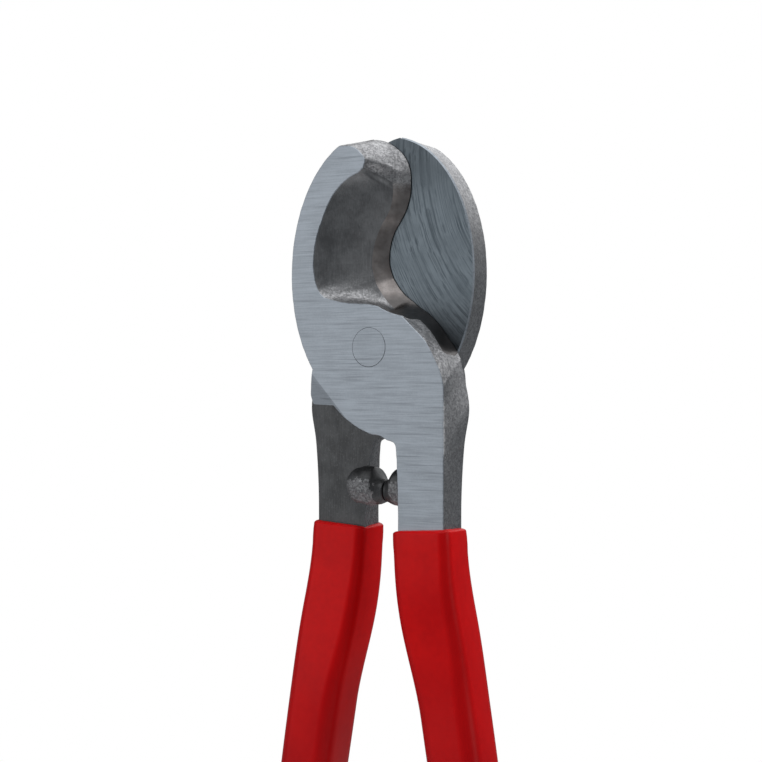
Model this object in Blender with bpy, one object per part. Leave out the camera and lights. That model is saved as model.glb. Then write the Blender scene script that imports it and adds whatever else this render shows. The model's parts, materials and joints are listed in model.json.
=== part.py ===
"""Cable cutter: two identical forged levers crossed on one flush rivet, with a dipped grip on each handle.

Units are metres, +Z is up along the tool, +X is to the right seen from the front, and +Y points away from
the viewer. The origin is on the ground, midway between the two grip ends. The rivet lies along Y above it.

One lever is drawn once, as the front one: its hooked jaw is on the left and its handle on the right. Turning
it half a turn about the tool's long axis gives the back one, so the two flat inner faces shear past each other.
Every outline is written as (x, z) seen from the front, measured from the rivet's centre.
"""

import math

import bmesh
import bpy
from mathutils import Matrix, Vector

MM = 0.001

# Driving dimensions
LEVER_THICKNESS = 8.85 * MM  # each forging, from its outer ground face to its inner shear face
SHEAR_GAP = 0.3 * MM  # running gap between the two shear faces
HANDLE_REACH = 186.0 * MM  # from the rivet's centre down to the grip ends

# Jaw: its back is part of an ellipse
JAW_HALF_WIDTH = 24.1 * MM  # at the outer ground face
JAW_HALF_HEIGHT = 35.3 * MM
JAW_CENTRE = 18.8 * MM  # the ellipse's centre, above the rivet
JAW_DRAFT = 1.2 * MM  # how much wider the jaw is at the shear face
RIM_WIDTH = 7.1 * MM  # ground rim between the jaw's back and the hollow
BEVEL_WIDTH = 2.2 * MM  # ground bevel behind the cutting edge, in plan
BEVEL_DEPTH = 2.2 * MM  # the same bevel, through the thickness
TIP_BEVEL_SHARE = 0.35  # the bevel narrows to this share at the point
TIP_FADE = 12.0 * MM
THROAT_RUN_IN = 0.4  # share of the throat over which the bevel grows to its full width

# Joint and shank
HEEL_WIDTH = 18.3 * MM  # from the rivet to the heel's side
HEEL_DROP = 14.6 * MM
BELLY_DROP = 23.3 * MM  # from the rivet down to the crotch between the shanks
SHANK_INNER = 8.6 * MM  # shank's inner side, at the ground face
SHANK_OUTER = 21.9 * MM  # shank's outer side, at the ground face
SHANK_DRAFT = 1.6 * MM  # how much further in the inner side reaches at the shear face
SHOULDER_BULGE = 2.4 * MM  # how far the shoulder stands out past the shank at the shear face
SHOULDER_DROP = 15.5 * MM

# Rivet: a straight body with countersunk ends, ground flush with the outer faces
RIVET_RADIUS = 4.2 * MM
RIVET_HEAD_RADIUS = 4.95 * MM
RIVET_HEAD_DEPTH = 1.6 * MM
RIVET_CLEARANCE = 0.25 * MM
RIVET_SIDES = 48

# Closing stops: a forged boss on each shank, and the two ends meet on the centre line
STOP_END_RADIUS = 3.0 * MM
STOP_RADIUS = 4.8 * MM
STOP_WINDOW = 8.5 * MM  # clear height between the crotch and the boss
STOP_FOOTING = 4.1 * MM  # shank left below the boss, down to the grip
STOP_TAPER = 2.7 * MM  # length of the tapered nose
STOP_LENGTH = 11.6 * MM
STOP_DOME = 3.8 * MM  # how far its far end is domed
STOP_GAP = 0.3 * MM  # between the two noses when the tool is shut
DOME_RINGS = 5
STOP_SIDES = 24

# Tang inside the grip, and the grip round it
TANG_INSET = 0.3 * MM  # the tang steps in from the ground shank by this much
TANG_ROOT = 3.5 * MM  # how far the tang reaches up inside the shank
GRIP_GAP = 0.3 * MM  # between the tang and the grip
GRIP_LIP_GAP = 0.3 * MM  # between the end of the ground shank and the grip's lip
GRIP_WALL = 1.7 * MM
GRIP_END_WALL = 3.0 * MM
GRIP_END_ROUNDING = 4.0 * MM
GRIP_STATIONS = 22
GRIP_END_RINGS = 4
CORNER_SIDES = 4
LEAST_CORNER = 0.3 * MM
# How far the handle's centre line leans out from the shank's middle: (share of the grip's length, distance)
HANDLE_BOW = ((0.0, 0.0), (0.16, 1.4 * MM), (0.44, 7.5 * MM), (0.74, 14.4 * MM), (1.0, 16.9 * MM))
# The tang's section: (share of the grip's length, half width, half depth, corner radius) past the first station
TANG_SECTIONS = (
    (0.16, 6.6 * MM, 5.0 * MM, 1.4 * MM),
    (0.33, 5.9 * MM, 5.4 * MM, 2.4 * MM),
    (0.60, 5.7 * MM, 5.5 * MM, 2.7 * MM),
    (1.00, 6.0 * MM, 5.5 * MM, 2.7 * MM),
)
TANG_CORNER = 0.8 * MM
LEVELLING_SHARE = 0.33  # by this share of the grip's length both handles lie in one plane
SQUARE_END_SHARE = 0.1  # over this share of its length at each end, the grip's sections turn level
BOW_STEPS = 48
LEAN_STEP = 0.01
HOLLOW_LAYERS = 4
SMOOTH_ANGLE = math.radians(30)

# What follows from them
SHEAR_FACE = SHEAR_GAP / 2
OUTER_FACE = SHEAR_FACE + LEVER_THICKNESS
STOP_DROP = BELLY_DROP + STOP_WINDOW + STOP_RADIUS
SHANK_END = STOP_DROP + STOP_RADIUS + STOP_FOOTING  # where the ground face stops
GRIP_LIP = SHANK_END + GRIP_LIP_GAP
GRIP_LENGTH = HANDLE_REACH - GRIP_LIP
ROUNDING_SHARE = 1 - GRIP_END_ROUNDING / GRIP_LENGTH  # where the grip's end starts to round over
SHANK_MIDDLE = (SHANK_INNER + SHANK_OUTER) / 2


# ---------------------------------------------------------------- curves

def spline(points, count):
    """Count points of a smooth curve through the given ones, without the last one."""
    points = [Vector(p) for p in points]
    ends = [2 * points[0] - points[1], *points, 2 * points[-1] - points[-2]]
    spans = len(points) - 1
    made = []
    for step in range(count):
        at = step * spans / count
        i = min(int(at), spans - 1)
        t = at - i
        a, b, c, d = ends[i:i + 4]
        made.append(0.5 * (2 * b + t * (c - a) + t * t * (2 * a - 5 * b + 4 * c - d)
                           + t * t * t * (3 * b - a - 3 * c + d)))
    return made


def value_at(table, share):
    """Smoothly interpolated values of a table whose first column is a share from 0 to 1."""
    if share <= table[0][0]:
        return Vector(table[0][1:])
    for low, high in zip(table, table[1:]):
        if share <= high[0]:
            t = (share - low[0]) / (high[0] - low[0])
            return Vector(low[1:]).lerp(Vector(high[1:]), t * t * (3 - 2 * t))
    return Vector(table[-1][1:])


def smooth_step(t):
    t = max(0.0, min(1.0, t))
    return t * t * (3 - 2 * t)


def jaw_back(half_width, start, end, count):
    """Points down the back of the jaw, between two angles in degrees, without the last one."""
    made = []
    for step in range(count):
        angle = math.radians(start + (end - start) * step / count)
        made.append(Vector((-half_width * math.cos(angle), JAW_CENTRE + JAW_HALF_HEIGHT * math.sin(angle))))
    return made


# ---------------------------------------------------------------- lever outlines
# The outline runs anticlockwise seen from the front, from the point down the jaw's back. Each stretch has the
# same number of points at the ground face and at the shear face, so that the two can be bridged.

BACK_END = -43.5  # degrees round the ellipse, where the jaw's back meets the waist
FACE_BACK_START = 68.0
EDGE_BACK_START = 81.0
STRETCHES = (("back", 22), ("heel", 6), ("heel_foot", 3), ("belly", 8), ("inner_shank", 12), ("foot", 4),
             ("outer_shank", 12), ("joint", 8), ("throat", 12), ("hook", 22), ("tip", 10))
COUNTS = dict(STRETCHES)


def on_ellipse(half_width, degrees):
    angle = math.radians(degrees)
    return (-half_width * math.cos(angle), JAW_CENTRE + JAW_HALF_HEIGHT * math.sin(angle))


def mm(*points):
    return [(x * MM, z * MM) for x, z in points]


def face_outline():
    """The lever's outline at its outer ground face, stretch by stretch."""
    waist = on_ellipse(JAW_HALF_WIDTH, BACK_END)
    heel = (-HEEL_WIDTH + 0.8 * MM, -HEEL_DROP)
    heel_corner = (-10.9 * MM, -HEEL_DROP - 0.2 * MM)
    crotch = (5.2 * MM, -BELLY_DROP)
    throat = (10.0 * MM, 7.6 * MM)
    joint = (SHANK_OUTER, -9.6 * MM)
    pocket = (-14.2 * MM, 13.2 * MM)
    hook_side = -JAW_HALF_WIDTH + RIM_WIDTH
    hook_end = (-1.9 * MM, 45.2 * MM)
    return {
        "back": jaw_back(JAW_HALF_WIDTH, FACE_BACK_START, BACK_END, COUNTS["back"]),
        "heel": spline([waist, (-HEEL_WIDTH + 0.4 * MM, -8.0 * MM), (-HEEL_WIDTH, -12.0 * MM), heel],
                       COUNTS["heel"]),
        "heel_foot": spline([heel, heel_corner], COUNTS["heel_foot"]),
        "belly": spline([heel_corner, (-7.5 * MM, 5.4 * MM - BELLY_DROP), (0.3 * MM, 1.5 * MM - BELLY_DROP),
                         crotch], COUNTS["belly"]),
        "inner_shank": spline([crotch, (SHANK_INNER - 1.3 * MM, -BELLY_DROP - 3.6 * MM),
                               (SHANK_INNER - 0.3 * MM, -STOP_DROP), (SHANK_INNER, -SHANK_END)],
                              COUNTS["inner_shank"]),
        "foot": spline([(SHANK_INNER, -SHANK_END), (SHANK_OUTER, -SHANK_END)], COUNTS["foot"]),
        "outer_shank": spline([(SHANK_OUTER, -SHANK_END), (SHANK_OUTER, -STOP_DROP),
                               (SHANK_OUTER, -SHOULDER_DROP), joint], COUNTS["outer_shank"]),
        "joint": spline([joint, *mm((21.2, -6.9), (19.8, -4.0), (15.5, 2.6), (12.6, 5.2)), throat],
                        COUNTS["joint"]),
        "throat": spline([throat, *mm((6.6, 8.6), (2.2, 10.4), (-5.6, 11.3)), pocket], COUNTS["throat"]),
        "hook": spline([pocket, (hook_side + 0.4 * MM, 18.0 * MM), (hook_side, 22.7 * MM),
                        (hook_side + 2.7 * MM, 32.8 * MM), *mm((-8.7, 41.2), (-5.7, 43.2)), hook_end],
                       COUNTS["hook"]),
        "tip": spline([hook_end, *mm((-1.1, 47.4), (-1.7, 49.7), (-4.6, 51.3)),
                       on_ellipse(JAW_HALF_WIDTH, FACE_BACK_START)], COUNTS["tip"]),
    }


def edge_outline():
    """The lever's outline at its shear face, where the inner side of the jaw is the cutting edge."""
    half_width = JAW_HALF_WIDTH + JAW_DRAFT
    waist = on_ellipse(half_width, BACK_END)
    heel = (-HEEL_WIDTH, -HEEL_DROP)
    heel_corner = (-10.9 * MM, -HEEL_DROP - 0.6 * MM)
    crotch = (4.4 * MM, -BELLY_DROP - 0.6 * MM)
    foot_inner = (SHANK_INNER - 0.4 * MM, -SHANK_END)
    foot_outer = (SHANK_OUTER + 0.1 * MM, -SHANK_END)
    joint = (SHANK_OUTER - 0.2 * MM, -3.1 * MM)
    throat = (10.8 * MM, 9.4 * MM)
    pocket = (1.6 * MM, 17.9 * MM)
    hook_end = (7.0 * MM, 41.8 * MM)
    return {
        "back": jaw_back(half_width, EDGE_BACK_START, BACK_END, COUNTS["back"]),
        "heel": spline([waist, (-HEEL_WIDTH - 0.3 * MM, -8.0 * MM), (-HEEL_WIDTH - 0.5 * MM, -12.0 * MM), heel],
                       COUNTS["heel"]),
        "heel_foot": spline([heel, heel_corner], COUNTS["heel_foot"]),
        "belly": spline([heel_corner, (-7.7 * MM, 4.8 * MM - BELLY_DROP), (-0.1 * MM, 0.8 * MM - BELLY_DROP),
                         crotch], COUNTS["belly"]),
        "inner_shank": spline([crotch, (SHANK_INNER - 1.6 * MM - SHANK_DRAFT, -BELLY_DROP - 3.6 * MM),
                               (SHANK_INNER - 0.3 * MM - SHANK_DRAFT, -STOP_DROP), foot_inner],
                              COUNTS["inner_shank"]),
        "foot": spline([foot_inner, foot_outer], COUNTS["foot"]),
        "outer_shank": spline([foot_outer, (SHANK_OUTER + 0.2 * MM, -STOP_DROP),
                               (SHANK_OUTER + 1.0 * MM, -24.5 * MM),
                               (SHANK_OUTER + SHOULDER_BULGE, -SHOULDER_DROP),
                               (SHANK_OUTER + 1.1 * MM, -8.0 * MM), joint], COUNTS["outer_shank"]),
        "joint": spline([joint, *mm((18.0, 2.3), (15.0, 6.0)), throat], COUNTS["joint"]),
        "throat": spline([throat, *mm((7.5, 11.6), (5.0, 13.5), (3.0, 15.7)), pocket], COUNTS["throat"]),
        "hook": spline([pocket, *mm((0.4, 22.8), (2.2, 29.9), (5.4, 34.7), (6.7, 38.6)), hook_end],
                       COUNTS["hook"]),
        "tip": spline([hook_end, *mm((6.3, 46.5), (2.8, 50.8), (0.1, 52.6)),
                       on_ellipse(half_width, EDGE_BACK_START)], COUNTS["tip"]),
    }


def joined(outline):
    return [point for name, _ in STRETCHES for point in outline[name]]


def inward_normals(points):
    """Unit vectors into the material, for an anticlockwise outline."""
    count = len(points)
    made = []
    for i in range(count):
        along = points[(i + 1) % count] - points[i - 1]
        made.append(Vector((-along.y, along.x)).normalized())
    return made


def land_outline(face, edge):
    """The outline at the top of the ground bevel, with its height above the shear face at each point."""
    apex = edge[0]
    inward = inward_normals(edge)
    points, heights, hollow = [], [], []
    index = 0
    for name, count in STRETCHES:
        for step in range(count):
            share = step / count
            fade = min(1.0, TIP_BEVEL_SHARE + (1 - TIP_BEVEL_SHARE) * (edge[index] - apex).length / TIP_FADE)
            height = BEVEL_DEPTH * fade
            ground = edge[index] + inward[index] * BEVEL_WIDTH * fade
            straight = face[index].lerp(edge[index], 1 - height / LEVER_THICKNESS)
            if name == "throat":
                point = face[index].lerp(ground, smooth_step(share / THROAT_RUN_IN))
            elif name in ("hook", "tip"):
                point = ground
            elif name == "joint":
                point = face[index]
            else:
                point = straight
            points.append(point)
            heights.append(height)
            hollow.append(1.0 if name in ("throat", "hook", "tip") else 0.0)
            index += 1
    return points, heights, hollow


# ---------------------------------------------------------------- meshes

def loft(name, rings):
    """A closed mesh object through rings of equal length, with a flat face over the first and the last."""
    mesh = bmesh.new()
    rows = [[mesh.verts.new(point) for point in ring] for ring in rings]
    count = len(rings[0])
    for low, high in zip(rows, rows[1:]):
        for i in range(count):
            j = (i + 1) % count
            mesh.faces.new((low[i], low[j], high[j], high[i]))
    mesh.faces.new(list(reversed(rows[0])))
    mesh.faces.new(rows[-1])
    bmesh.ops.recalc_face_normals(mesh, faces=mesh.faces)
    data = bpy.data.meshes.new(name)
    mesh.to_mesh(data)
    mesh.free()
    data.shade_smooth()
    data.set_sharp_from_angle(angle=SMOOTH_ANGLE)
    made = bpy.data.objects.new(name, data)
    bpy.context.scene.collection.objects.link(made)
    return made


def turned(name, profile, axis, sides):
    """A solid of revolution about the X or the Y axis, from (distance along it, radius) pairs."""
    rings = []
    for along, radius in profile:
        ring = []
        for step in range(sides):
            angle = 2 * math.pi * step / sides
            across, up = radius * math.cos(angle), radius * math.sin(angle)
            ring.append((along, across, up) if axis == "X" else (across, along, up))
        rings.append(ring)
    return loft(name, rings)


def combined(target, operation, tool):
    """Applies one Boolean to the target's mesh and removes the tool."""
    modifier = target.modifiers.new(operation.lower(), "BOOLEAN")
    modifier.operation = operation
    modifier.object = tool
    bpy.context.view_layer.update()
    graph = bpy.context.evaluated_depsgraph_get()
    data = bpy.data.meshes.new_from_object(target.evaluated_get(graph))
    target.modifiers.clear()
    target.data = data
    bpy.data.objects.remove(tool)


def steel(name, colour, roughness):
    made = bpy.data.materials.new(name)
    made.use_nodes = True
    shader = made.node_tree.nodes["Principled BSDF"]
    shader.inputs["Base Color"].default_value = (*colour, 1.0)
    shader.inputs["Metallic"].default_value = 1.0
    shader.inputs["Roughness"].default_value = roughness
    return made


def plastic(name, colour, roughness):
    made = steel(name, colour, roughness)
    made.node_tree.nodes["Principled BSDF"].inputs["Metallic"].default_value = 0.0
    return made


# ---------------------------------------------------------------- the lever

def lever_plate():
    """Jaw, joint and shank: bridged from the ground face, down the hollow and the bevel, to the shear face."""
    face, edge = joined(face_outline()), joined(edge_outline())
    land, heights, hollow = land_outline(face, edge)
    rings = []
    for layer in range(HOLLOW_LAYERS + 1):
        share = layer / HOLLOW_LAYERS
        ring = []
        for i, point in enumerate(face):
            plan = share + (share * share - share) * hollow[i]
            depth = share + (share - share * share) * hollow[i]
            where = point.lerp(land[i], plan)
            y = -OUTER_FACE + (LEVER_THICKNESS - heights[i]) * depth
            ring.append((where.x, y, where.y))
        rings.append(ring)
    rings.append([(point.x, -SHEAR_FACE, point.y) for point in edge])
    return loft("lever_plate", rings)


def stop_boss():
    """The round boss across the shank: a tapered nose on the centre line and a domed far end."""
    nose = STOP_GAP / 2
    profile = [(nose, STOP_END_RADIUS), (nose + STOP_TAPER, STOP_RADIUS)]
    for step in range(DOME_RINGS):
        angle = math.pi / 2 * step / DOME_RINGS
        profile.append((STOP_LENGTH - STOP_DOME * (1 - math.sin(angle)), STOP_RADIUS * math.cos(angle)))
    made = turned("stop_boss", profile, "X", STOP_SIDES)
    made.data.transform(Matrix.Translation((0, 0, -STOP_DROP)))
    return made


def rounded_section(half_width, half_depth, corner):
    """Points round a rectangle with round corners, as (across, deep) pairs."""
    made = []
    for quarter in range(4):
        centre_across = (half_width - corner) * (1 if quarter in (0, 3) else -1)
        centre_deep = (half_depth - corner) * (1 if quarter in (0, 1) else -1)
        for step in range(CORNER_SIDES + 1):
            angle = math.pi / 2 * (quarter + step / CORNER_SIDES)
            made.append((centre_across + corner * math.cos(angle), centre_deep + corner * math.sin(angle)))
    return made


def bow_at(share):
    """How far the handle's centre line leans out at a share of the grip's length."""
    line = spline(HANDLE_BOW, BOW_STEPS) + [Vector(HANDLE_BOW[-1])]
    for low, high in zip(line, line[1:]):
        if share <= high.x:
            return low.y + (high.y - low.y) * (share - low.x) / (high.x - low.x)
    return line[-1].y


def handle_line(share):
    """Centre of the handle at a share of the grip's length, and the angle it leans by there."""
    above, below = max(0.0, share - LEAN_STEP), min(1.0, share + LEAN_STEP)
    lean = math.atan2(bow_at(below) - bow_at(above), (below - above) * GRIP_LENGTH)
    lean *= smooth_step(share / SQUARE_END_SHARE) * smooth_step((ROUNDING_SHARE - share) / SQUARE_END_SHARE)
    deep = -(OUTER_FACE + SHEAR_FACE) / 2 * (1 - smooth_step(share / LEVELLING_SHARE))
    return Vector((SHANK_MIDDLE + bow_at(share), deep, -GRIP_LIP - share * GRIP_LENGTH)), lean


def tang_section(share):
    """Half width, half depth and corner radius of the tang at a share of the grip's length."""
    root = (0.0, (SHANK_OUTER - SHANK_INNER) / 2 - TANG_INSET, LEVER_THICKNESS / 2 - TANG_INSET, TANG_CORNER)
    return value_at((root, *TANG_SECTIONS), share)


def handle_ring(share, grown, raised=0.0):
    """A ring round the handle, at a distance outside the tang's own surface."""
    centre, lean = handle_line(share)
    half_width, half_depth, corner = tang_section(share)
    section = rounded_section(half_width + grown, half_depth + grown, max(corner + grown, LEAST_CORNER))
    return [(centre.x + across * math.cos(lean), centre.y + deep, centre.z + across * math.sin(lean) + raised)
            for across, deep in section]


def tang():
    """The forged handle inside the grip, from within the shank to just short of the grip's end."""
    last = 1 - (GRIP_END_WALL + GRIP_GAP) / GRIP_LENGTH
    rings = [handle_ring(0.0, 0.0, raised=TANG_ROOT)]
    for station in range(GRIP_STATIONS + 1):
        rings.append(handle_ring(last * station / GRIP_STATIONS, 0.0))
    return loft("tang", rings)


def lever():
    """One whole forging, bored for the rivet."""
    made = lever_plate()
    combined(made, "UNION", tang())
    combined(made, "UNION", stop_boss())
    combined(made, "DIFFERENCE", rivet_shape("rivet_bore", grown=RIVET_CLEARANCE, beyond=1.0 * MM))
    made.data.shade_smooth()
    made.data.set_sharp_from_angle(angle=SMOOTH_ANGLE)
    return made


# ---------------------------------------------------------------- the rivet and the grips

def rivet_shape(name, grown, beyond):
    """The rivet's spool, grown by a clearance and run straight past both faces to make its bore."""
    head_start = OUTER_FACE - RIVET_HEAD_DEPTH
    half = [(head_start, RIVET_RADIUS + grown), (OUTER_FACE, RIVET_HEAD_RADIUS + grown)]
    if beyond:
        half.append((OUTER_FACE + beyond, RIVET_HEAD_RADIUS + grown))
    profile = [(-y, radius) for y, radius in reversed(half)] + half
    return turned(name, profile, "Y", RIVET_SIDES)


def grip():
    """A dipped sleeve: up the inside from its blind end, over the lip, and down the outside to its round end."""
    inner_last = 1 - GRIP_END_WALL / GRIP_LENGTH
    rings = []
    for station in range(GRIP_STATIONS, -1, -1):
        rings.append(handle_ring(inner_last * station / GRIP_STATIONS, GRIP_GAP))
    for station in range(GRIP_STATIONS + 1):
        rings.append(handle_ring(ROUNDING_SHARE * station / GRIP_STATIONS, GRIP_GAP + GRIP_WALL))
    for step in range(1, GRIP_END_RINGS + 1):
        angle = math.pi / 2 * step / GRIP_END_RINGS
        pulled_in = GRIP_END_ROUNDING * (1 - math.cos(angle))
        rings.append(handle_ring(ROUNDING_SHARE, GRIP_GAP + GRIP_WALL - pulled_in,
                                 raised=-GRIP_END_ROUNDING * math.sin(angle)))
    return loft("grip", rings)


# ---------------------------------------------------------------- the assembly

def clear_scene():
    for old in list(bpy.data.objects):
        bpy.data.objects.remove(old)


def placed(name, data, material, pivot, turn):
    """A named object hung on the pivot, turned about the tool's long axis."""
    made = bpy.data.objects.new(name, data)
    bpy.context.scene.collection.objects.link(made)
    made.parent = pivot
    made.rotation_euler = (0.0, 0.0, turn)
    data.materials.clear()
    data.materials.append(material)
    return made


def main():
    clear_scene()
    forged = steel("ground forged steel", (0.50, 0.53, 0.56), 0.35)
    riveted = steel("rivet steel", (0.52, 0.55, 0.58), 0.3)
    dipped = plastic("red dipped vinyl", (0.62, 0.02, 0.02), 0.22)

    pivot = bpy.data.objects.new("pivot", None)
    bpy.context.scene.collection.objects.link(pivot)
    pivot.location = (0.0, 0.0, HANDLE_REACH)

    shaped_lever, shaped_grip = lever(), grip()
    shaped_rivet = rivet_shape("rivet", grown=0.0, beyond=0.0)
    placed("front_lever", shaped_lever.data, forged, pivot, 0.0)
    placed("back_lever", shaped_lever.data, forged, pivot, math.pi)
    placed("right_grip", shaped_grip.data, dipped, pivot, 0.0)
    placed("left_grip", shaped_grip.data, dipped, pivot, math.pi)
    placed("pivot_rivet", shaped_rivet.data, riveted, pivot, 0.0)
    for shape in (shaped_lever, shaped_grip, shaped_rivet):
        bpy.data.objects.remove(shape)


main()
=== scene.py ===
# %% [markdown]
# # A forged cable cutter
#
# The tool is two identical steel forgings crossed on one flush rivet, with a dipped vinyl grip on each
# handle. This lesson dresses its imported CAD model: the pieces keep their places and their motion, and get
# the fine shapes and the finishes that a solid model leaves out. We load the model first. The dressed tool
# has to stay inside it.

import json
import math

import bpy
from mathutils import Matrix, Vector, noise


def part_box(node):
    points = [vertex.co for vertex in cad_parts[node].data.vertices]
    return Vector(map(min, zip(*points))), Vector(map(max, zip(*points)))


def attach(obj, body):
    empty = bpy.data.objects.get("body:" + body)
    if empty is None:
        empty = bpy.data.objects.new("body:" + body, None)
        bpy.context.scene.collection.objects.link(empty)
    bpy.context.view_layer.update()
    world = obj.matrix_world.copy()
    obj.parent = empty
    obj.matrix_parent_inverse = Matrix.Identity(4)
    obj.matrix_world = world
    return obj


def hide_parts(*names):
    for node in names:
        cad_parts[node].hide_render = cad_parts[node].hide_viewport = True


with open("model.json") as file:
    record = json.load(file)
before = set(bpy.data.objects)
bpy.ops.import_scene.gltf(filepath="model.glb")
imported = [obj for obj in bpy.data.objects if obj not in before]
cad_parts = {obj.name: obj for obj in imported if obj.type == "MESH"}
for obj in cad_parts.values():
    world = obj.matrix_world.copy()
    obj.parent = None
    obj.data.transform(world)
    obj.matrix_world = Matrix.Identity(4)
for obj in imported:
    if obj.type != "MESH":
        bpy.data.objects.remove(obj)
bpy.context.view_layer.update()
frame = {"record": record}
record = frame["record"]

# %% [markdown]
# ## Places taken from the model
#
# Everything hangs on the rivet's centre, so lengths below are in millimetres from there: x to the right, z
# up, and y from the front face to the back. The outer ground faces and the lip of each grip come from the
# model.

# %% Driving places
MM = 0.001
PIVOT = Vector(record["behaviour"]["joints"][0]["pos_m"])
OUTER_FACE = abs(record["mounts"][0]["pos_m"][1]) / MM
SHEAR_FACE = 0.15
GRIP_END = PIVOT.z / MM
GRIP_LIP = (PIVOT.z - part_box("right_grip")[1][2]) / MM
FRONT_BODY = "front_half"
BACK_BODY = "back_half"
print("faces at", OUTER_FACE, "mm, lip", round(GRIP_LIP, 1), "mm under the rivet")

# %% [markdown]
# ## Camera
#
# A tool like this is shown standing, seen level from the front right. A long lens keeps its proportions,
# and the jaws and joint fill the picture, so the handles run out of it at the bottom. The camera looks
# straight ahead, because tilting it would make the handles converge.

# %% Make the camera
VIEW_AZIMUTH = math.radians(33)
VIEW_DISTANCE = 0.42
LENS = 77.4  # on a 36 mm sensor
AIM_LEFT = 0.0018
AIM_DOWN = 0.0085


def make_camera():
    towards = Vector((math.sin(VIEW_AZIMUTH), -math.cos(VIEW_AZIMUTH), 0))
    right = Vector((math.cos(VIEW_AZIMUTH), math.sin(VIEW_AZIMUTH), 0))
    data = bpy.data.cameras.new("camera")
    data.lens = LENS
    data.clip_start = 0.01
    made = bpy.data.objects.new("camera", data)
    bpy.context.scene.collection.objects.link(made)
    made.location = PIVOT + towards * VIEW_DISTANCE - right * AIM_LEFT - Vector((0, 0, AIM_DOWN))
    made.rotation_euler = (math.pi / 2, 0, VIEW_AZIMUTH)
    bpy.context.scene.camera = made
    return made


camera = make_camera()
print("camera at", [round(value, 3) for value in camera.location])

# %% [markdown]
# ## Writing shaders as sums
#
# A finish is easier to read as a sum than as a cloud of nodes. `Wire` wraps one output socket: adding,
# subtracting or multiplying wires adds the Math nodes. `Finish` holds one material, and its `node` method
# adds any other node, sets its settings first, and then fills or links its sockets. `Nodes` fills any node
# tree, and a `Finish` is the tree of one material.

# %% The Wire, Nodes and Finish classes
MIX_FIRST, MIX_SECOND, MIX_RESULT = 6, 7, 2  # the colour sockets of a Mix node


class Wire:
    """One output socket that can be written in a sum."""

    def __init__(self, nodes, socket):
        self.nodes = nodes
        self.socket = socket

    def _math(self, operation, first, second):
        node = self.nodes.node("ShaderNodeMath", {"operation": operation}, {0: first, 1: second})
        return self.nodes.wire(node)

    def __add__(self, other):
        return self._math("ADD", self, other)

    def __sub__(self, other):
        return self._math("SUBTRACT", self, other)

    def __rsub__(self, other):
        return self._math("SUBTRACT", other, self)

    def __mul__(self, other):
        return self._math("MULTIPLY", self, other)

    __radd__ = __add__
    __rmul__ = __mul__

    def between(self, low, high):
        """0 where the wire is at or under low, 1 where it is at or over high."""
        node = self.nodes.node("ShaderNodeMapRange", {"interpolation_type": "SMOOTHSTEP"},
                               {"Value": self, "From Min": low, "From Max": high})
        return self.nodes.wire(node)


class Nodes:
    """A node tree that is being filled."""

    def __init__(self, tree):
        self.tree = tree

    def wire(self, node, output=0):
        return Wire(self, node.outputs[output])

    def node(self, kind, settings=None, sockets=None):
        made = self.tree.nodes.new(kind)
        for name, value in (settings or {}).items():
            setattr(made, name, value)
        for name, value in (sockets or {}).items():
            self.fill(made, name, value)
        return made

    def fill(self, node, socket, value):
        """Links a wire to a node's socket, or sets the socket to a plain value."""
        if isinstance(value, Wire):
            self.tree.links.new(value.socket, node.inputs[socket])
        else:
            node.inputs[socket].default_value = value


class Finish(Nodes):
    """One material, built up from nodes."""

    def __init__(self, name, **shader_values):
        self.material = bpy.data.materials.new(name)
        self.material.use_nodes = True
        super().__init__(self.material.node_tree)
        self.shader = self.tree.nodes["Principled BSDF"]
        for socket, value in shader_values.items():
            self.fill(self.shader, socket.replace("_", " "), value)

    def place(self, scale=(1, 1, 1), turn=(0, 0, 0)):
        """The piece's own coordinates in millimetres, turned and stretched."""
        own = self.wire(self.node("ShaderNodeTexCoord"), "Object")
        mapped = self.node("ShaderNodeMapping", {"vector_type": "POINT"},
                           {"Vector": own, "Rotation": turn, "Scale": [value / MM for value in scale]})
        return self.wire(mapped)

    def grain(self, size, detail=3.0, roughness=0.5, place=None):
        """Noise from 0 to 1 whose lumps are about this many millimetres across."""
        node = self.node("ShaderNodeTexNoise", {"noise_dimensions": "3D"},
                         {"Vector": place or self.place(), "Scale": 1.0 / size, "Detail": detail,
                          "Roughness": roughness})
        return self.wire(node, "Fac")

    def blend(self, mask, first, second):
        """The first colour where the mask is 0 and the second where it is 1."""
        first, second = (colour if isinstance(colour, Wire) else (*colour, 1.0) for colour in (first, second))
        node = self.node("ShaderNodeMix", {"data_type": "RGBA"},
                         {"Factor": mask, MIX_FIRST: first, MIX_SECOND: second})
        return self.wire(node, MIX_RESULT)

    def feed(self, socket, wire):
        self.fill(self.shader, socket, wire)

    def bump(self, height, depth_mm):
        """Raises the surface by up to this many millimetres."""
        node = self.node("ShaderNodeBump", None, {"Height": height, "Distance": depth_mm * MM})
        self.feed("Normal", self.wire(node, "Normal"))


print("shader helpers ready")
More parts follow.
